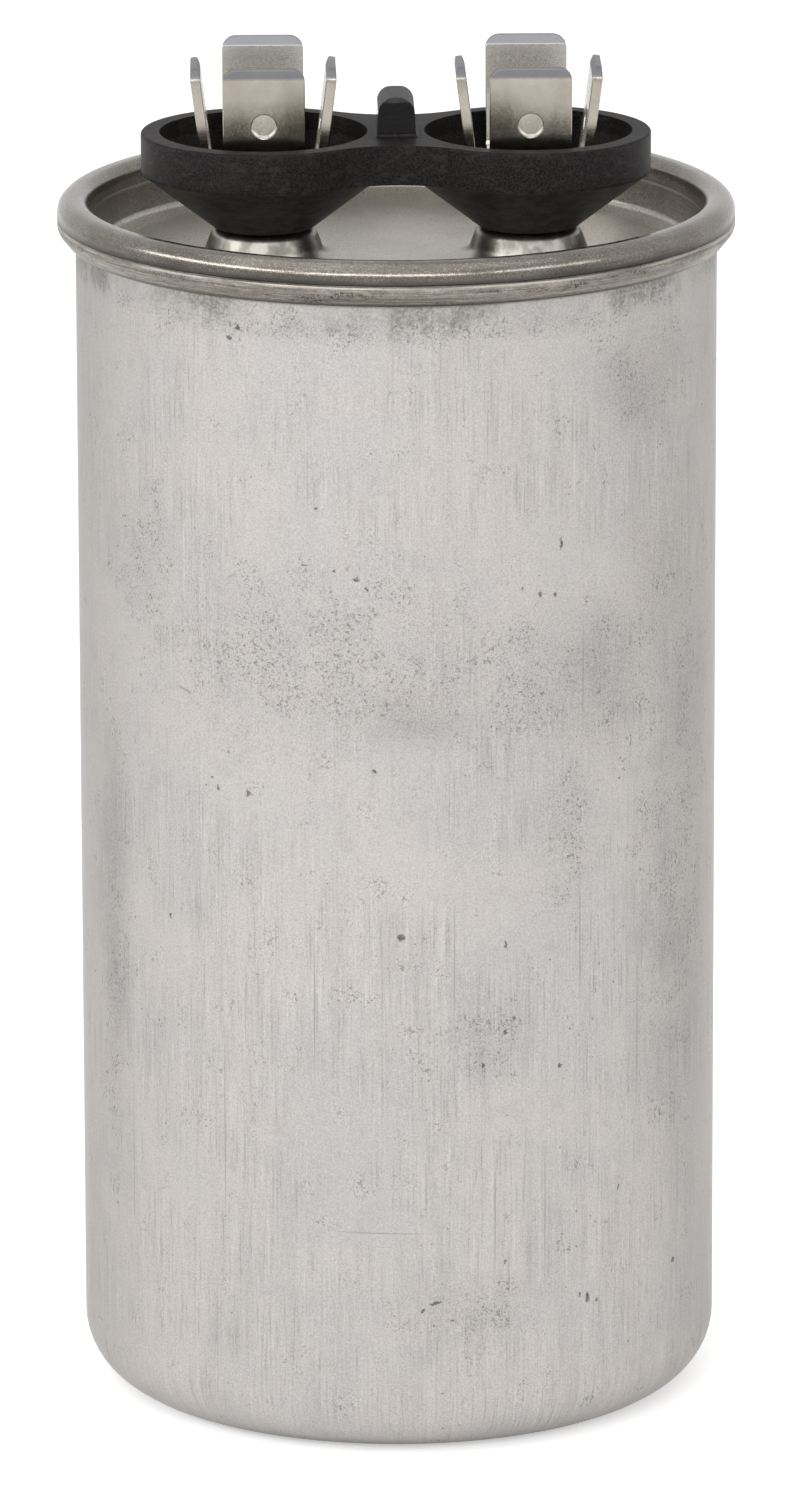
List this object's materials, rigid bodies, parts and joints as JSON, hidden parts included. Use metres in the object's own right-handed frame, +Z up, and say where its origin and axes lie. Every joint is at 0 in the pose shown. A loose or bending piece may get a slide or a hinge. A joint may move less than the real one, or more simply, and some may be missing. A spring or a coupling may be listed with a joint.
{
  "type": "motor run capacitor",
  "caption": "Motor run capacitor in a round drawn metal can, with a double-seamed lid and a black twin-cup terminal block holding bladed push-on terminals.",
  "frame": {"origin": "centre of the can's flat base", "axes": "+Z up along the can's axis towards the terminals; the two terminals stand along X; the picture is taken from -Y"},
  "size_m": [0.0528, 0.0528, 0.1069],
  "materials": {
    "can": "satin drawn metal with fine vertical draw lines, grey clouds and small dark marks",
    "lid": "satin tinplate, warm grey",
    "seam_compound": "matte",
    "terminal_block": "near-black moulded phenolic, semi-matte",
    "tabs": "matte tin plating, finely grained",
    "gaskets": "matte",
    "rivets": "satin tin plating",
    "bushings": "matte",
    "washers": "satin",
    "leads": "satin tin plating",
    "lead_sleeve": "matte",
    "interrupter_plate": "matte",
    "winding": "metallised film, silvery",
    "winding_core": "matte",
    "end_spray": "rough sprayed zinc",
    "outer_wrap": "clear film",
    "bottom_spacer": "matte"
  },
  "bodies": {
    "root": {"can": "can", "lid": "lid", "seam_compound": "seam_compound", "terminal_block": "terminal_block", "tabs_left": "tabs", "tabs_right": "tabs", "cross_tabs_left": "tabs", "cross_tabs_right": "tabs", "gasket_left": "gaskets", "gasket_right": "gaskets", "rivet_left": "rivets", "rivet_right": "rivets", "inner_bushing_left": "bushings", "inner_bushing_right": "bushings", "washer_left": "washers", "washer_right": "washers", "lead_left": "leads", "lead_right": "leads", "lead_sleeve": "lead_sleeve", "interrupter_plate": "interrupter_plate", "winding": "winding", "winding_core": "winding_core", "end_spray_top": "end_spray", "end_spray_bottom": "end_spray", "outer_wrap": "outer_wrap", "bottom_spacer": "bottom_spacer"}
  },
  "joints": []
}
